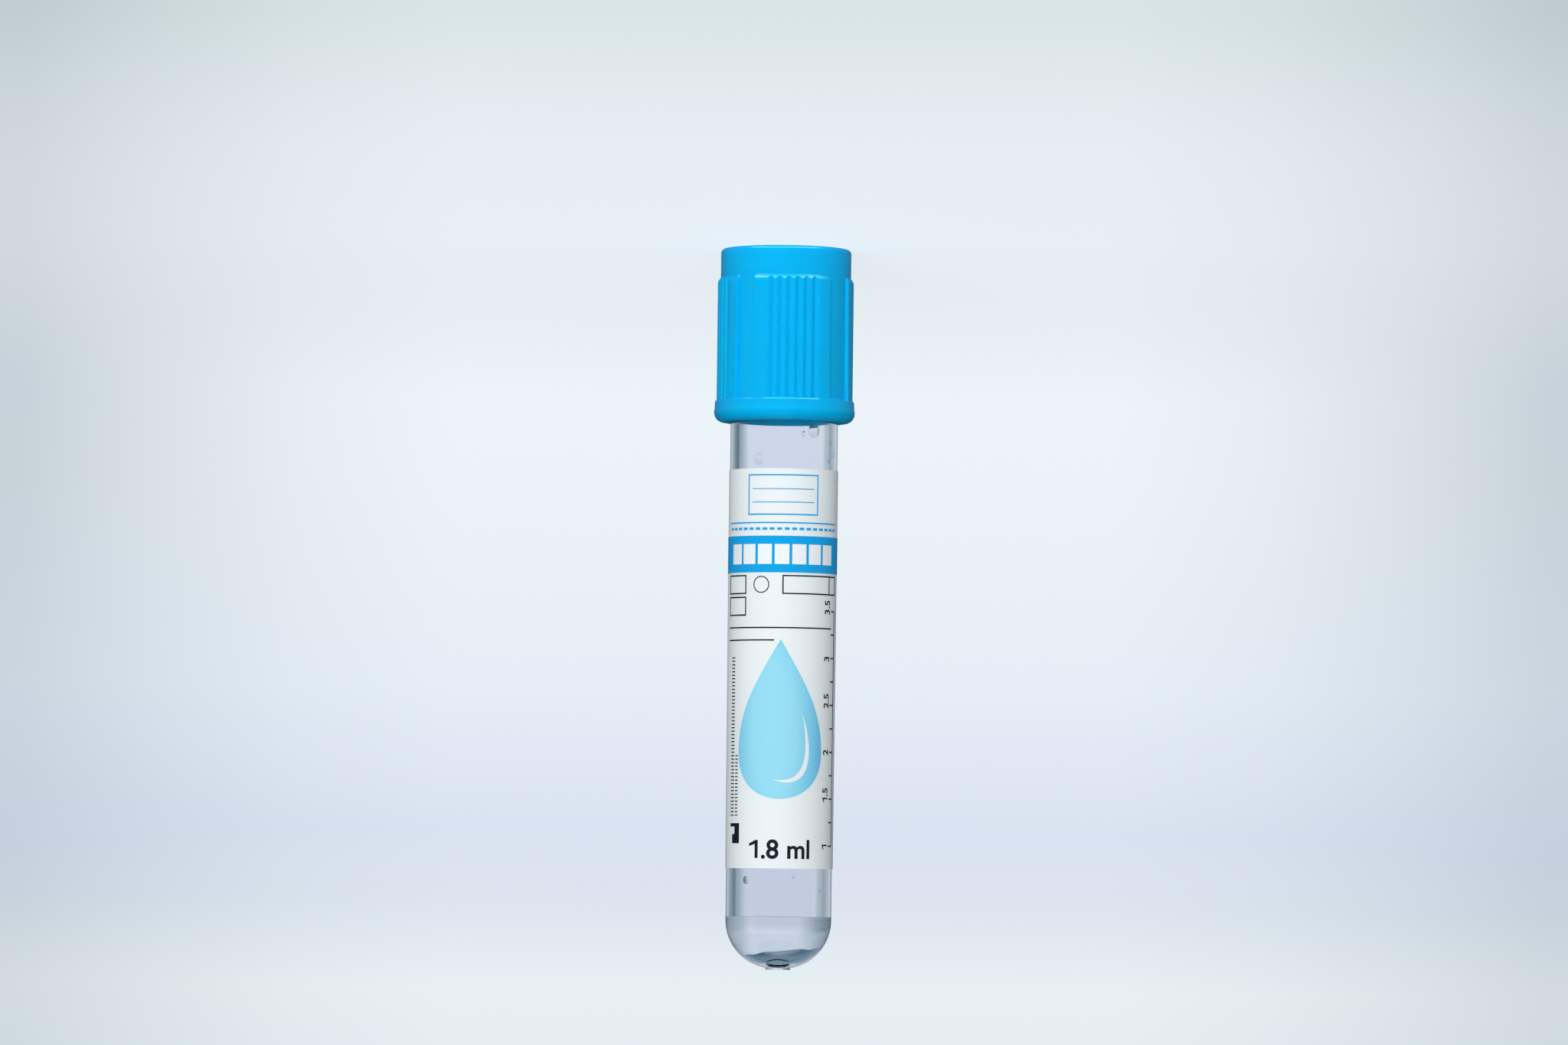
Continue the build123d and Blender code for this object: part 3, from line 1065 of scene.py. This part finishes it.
# %% The pale backdrop: brightest behind the tube, softly darker to both sides
# Heights are a direction's Z, widths its degrees to either side, and eased is how much
# of the darkening is taken back at each height.
heights = (
    (-0.12, srgb(215, 226, 228)),
    (-0.108, srgb(217, 228, 230)),
    (-0.08, srgb(238, 246, 252)),
    (-0.05, srgb(235, 243, 248)),
    (-0.024, srgb(229, 238, 246)),
    (-0.006, srgb(217, 226, 240)),
    (0.003, srgb(220, 229, 238)),
    (0.0135, srgb(231, 240, 243)),
    (0.03, srgb(226, 236, 241)),
)
widths = (
    (0, grey(1)),
    (2.4, grey(1)),
    (3.5, grey(0.93, 0.01)),
    (4.5, grey(0.81, 0.03)),
    (5.5, grey(0.66, 0.05)),
    (9, grey(0.64, 0.05)),
    (40, grey(0.88, 0.02)),
)
eased = (
    (-0.12, grey(0.25)),
    (-0.1, grey(0.2)),
    (-0.08, grey(0)),
    (-0.05, grey(0.1)),
    (-0.024, grey(0.3)),
    (-0.006, grey(0.44)),
    (0.03, grey(0.4)),
)
lowest, highest = -0.12, 0.03
up_shade = shade_ramp(split.outputs["Z"], lowest, highest, heights)
aside = add_node(tree, "ShaderNodeMath", operation="ABSOLUTE")
tree.links.new(heading.outputs[0], aside.inputs[0])
turns = [(radians(angle), colour) for angle, colour in widths]
widest = radians(40)
side_shade = shade_ramp(aside.outputs[0], 0, widest, turns)
ease = shade_ramp(split.outputs["Z"], lowest, highest, eased)
backdrop = times(up_shade, mixed(tree, ease, side_shade, grey(1)))

# %% What gloss and clear plastic show: darker panels at the sides, in front and overhead
# Panels go round in degrees. The level share moves them towards one even tone near the
# horizon, and overhead dims what is above it.
panels = (
    (-180, srgb(92, 102, 112)),
    (-115, srgb(92, 102, 112)),
    (-100, srgb(150, 166, 176)),
    (-44, srgb(156, 174, 184)),
    (-33, srgb(174, 192, 201)),
    (-24, srgb(188, 204, 213)),
    (-19, srgb(204, 217, 226)),
    (-16, srgb(226, 236, 243)),
    (-13, srgb(238, 245, 250)),
    (-10, srgb(229, 237, 253)),
    (10, srgb(229, 237, 253)),
    (13, srgb(212, 223, 234)),
    (17, srgb(190, 204, 215)),
    (21, srgb(166, 184, 195)),
    (26, srgb(148, 168, 179)),
    (33, srgb(132, 152, 163)),
    (41, srgb(116, 135, 145)),
    (48, srgb(102, 120, 130)),
    (80, srgb(98, 116, 127)),
    (100, srgb(92, 102, 112)),
    (180, srgb(92, 102, 112)),
)
level_share = (
    (-1, grey(0.3)),
    (-0.3, grey(0.6)),
    (-0.1, grey(0.5)),
    (-0.065, grey(0)),
    (-0.045, grey(0)),
    (-0.02, grey(0.12)),
    (0.2, grey(0.12)),
    (1, grey(0)),
)
overhead = (
    (-1, grey(1)),
    (-0.06, grey(1)),
    (0, grey(0.86, 0.03)),
    (0.035, grey(0.86, 0.03)),
    (0.085, (0.22, 0.31, 0.38, 1)),
    (1, (0.2, 0.28, 0.35, 1)),
)
turns = [(radians(angle), colour) for angle, colour in panels]
panel_shade = shade_ramp(heading.outputs[0], -pi, pi, turns)
share = shade_ramp(split.outputs["Z"], -1, 1, level_share)
evened = mixed(tree, share, panel_shade, srgb(213, 226, 238))
reflected = times(evened, shade_ramp(split.outputs["Z"], -1, 1, overhead))

# %% A bright panel low in front, seen only in gloss: it draws the light edges of the cap
low_band = (
    (-1, grey(0)),
    (-0.93, grey(0.1)),
    (-0.88, grey(1)),
    (-0.76, grey(1)),
    (-0.68, grey(0.1)),
    (-0.6, grey(0)),
    (1, grey(0)),
)
in_front = ((-1, grey(1)), (-0.15, grey(1)), (0.1, grey(0)), (1, grey(0)))
band_shade = shade_ramp(split.outputs["Z"], -1, 1, low_band)
sheen = times(band_shade, shade_ramp(split.outputs["Y"], -1, 1, in_front))

# %% What lights the object: a brighter lower half, as over a white table
lower = add_node(
    tree,
    "ShaderNodeMapRange",
    interpolation_type="SMOOTHSTEP",
    From_Min=-0.4,
    From_Max=0.3,
    To_Min=0.44,
    To_Max=0.19,
)
tree.links.new(split.outputs["Z"], lower.inputs["Value"])

# %% Which background a ray meets: seen by the camera, bent or mirrored, or lighting
mirror_dimming = -0.85
shine_strength = 8.0
seen = add_node(tree, "ShaderNodeBackground")
bent = add_node(tree, "ShaderNodeBackground")
lit = add_node(tree, "ShaderNodeBackground", Color=srgb(240, 244, 248))
shine = add_node(tree, "ShaderNodeBackground")
tree.links.new(backdrop, seen.inputs["Color"])
tree.links.new(reflected, bent.inputs["Color"])
tree.links.new(lower.outputs["Result"], lit.inputs["Strength"])
path = add_node(tree, "ShaderNodeLightPath")
glassy = add_node(tree, "ShaderNodeMath", operation="MAXIMUM")
tree.links.new(path.outputs["Is Transmission Ray"], glassy.inputs[0])
tree.links.new(path.outputs["Is Glossy Ray"], glassy.inputs[1])
mirror = add_node(tree, "ShaderNodeMath", operation="SUBTRACT", use_clamp=True)
tree.links.new(path.outputs["Is Glossy Ray"], mirror.inputs[0])
tree.links.new(path.outputs["Is Transmission Ray"], mirror.inputs[1])
dimmed = add_node(tree, "ShaderNodeMath", operation="MULTIPLY_ADD")
dimmed.inputs[1].default_value, dimmed.inputs[2].default_value = mirror_dimming, 1.0
tree.links.new(mirror.outputs[0], dimmed.inputs[0])
tree.links.new(dimmed.outputs[0], bent.inputs["Strength"])
bright = add_node(tree, "ShaderNodeMath", operation="MULTIPLY")
bright.inputs[1].default_value = shine_strength
tree.links.new(mirror.outputs[0], bright.inputs[0])
tree.links.new(bright.outputs[0], shine.inputs["Strength"])
tree.links.new(sheen, shine.inputs["Color"])
both = add_node(tree, "ShaderNodeAddShader")
first = add_node(tree, "ShaderNodeMixShader")
second = add_node(tree, "ShaderNodeMixShader")
tree.links.new(glassy.outputs[0], first.inputs[0])
tree.links.new(lit.outputs[0], first.inputs[1])
tree.links.new(bent.outputs[0], first.inputs[2])
tree.links.new(path.outputs["Is Camera Ray"], second.inputs[0])
tree.links.new(first.outputs[0], both.inputs[0])
tree.links.new(shine.outputs[0], both.inputs[1])
tree.links.new(both.outputs[0], second.inputs[1])
tree.links.new(seen.outputs[0], second.inputs[2])
out = add_node(tree, "ShaderNodeOutputWorld")
tree.links.new(second.outputs[0], out.inputs["Surface"])


# %% Lamps
tube_middle = Vector((0, 0, 0.04))


def softbox(name, spot, size, watts, colour=(1, 1, 1)):
    """An area lamp that faces the tube's middle and doesn't show in gloss."""
    lamp = bpy.data.lights.new(name, "AREA")
    lamp.shape = "RECTANGLE"
    lamp.size, lamp.size_y = size
    lamp.energy, lamp.color = watts, colour
    holder = bpy.data.objects.new(name, lamp)
    holder.location = spot
    towards_tube = tube_middle - Vector(spot)
    holder.rotation_euler = towards_tube.to_track_quat("-Z", "Y").to_euler()
    holder.visible_glossy = False
    holder.visible_transmission = False
    bpy.context.scene.collection.objects.link(holder)


warm = (1.0, 0.997, 0.985)
softbox("key_front", spot=(0.08, -1.0, 0.11), size=(0.4, 0.18), watts=4.15, colour=warm)
softbox("fill_left", spot=(0.9, -0.35, 0.1), size=(0.4, 0.18), watts=0.55)
softbox("from_above", spot=(0.05, -0.5, 0.6), size=(0.3, 0.3), watts=0.9)
softbox("under_table", spot=(0.06, -0.4, -0.5), size=(0.2, 0.14), watts=2.2)

# %% [markdown]
# ## Camera
# A long lens from about a metre keeps the tube's sides nearly parallel. It stands level
# with the liquid and looks a little down, to the cap. The camera is rolled by half a
# turn, less a slight lean, so that the cap is on top, as the label is read.

# %% Camera
camera_data = bpy.data.cameras.new("camera")
camera_data.lens, camera_data.sensor_width = 182.7, 36.0
camera = bpy.data.objects.new("camera", camera_data)
bpy.context.scene.collection.objects.link(camera)
bpy.context.scene.camera = camera
camera_distance = 0.96
camera_side = -0.00011
camera_height = 0.07628
look_down = radians(2.58)
lean = radians(0.69)
stand = Vector((camera_side, -camera_distance, camera_height))
aim = Vector((camera_side, 0, camera_height - camera_distance * tan(look_down)))
forward = (aim - stand).normalized()
top = Vector((sin(lean), 0, -cos(lean)))
side = forward.cross(top).normalized()
top = side.cross(forward)
turned = Matrix((side, top, -forward)).transposed().to_4x4()
camera.matrix_world = Matrix.Translation(stand) @ turned
camera_data.clip_start, camera_data.clip_end = 0.05, 20

bpy.context.scene.view_settings.view_transform = "Standard"
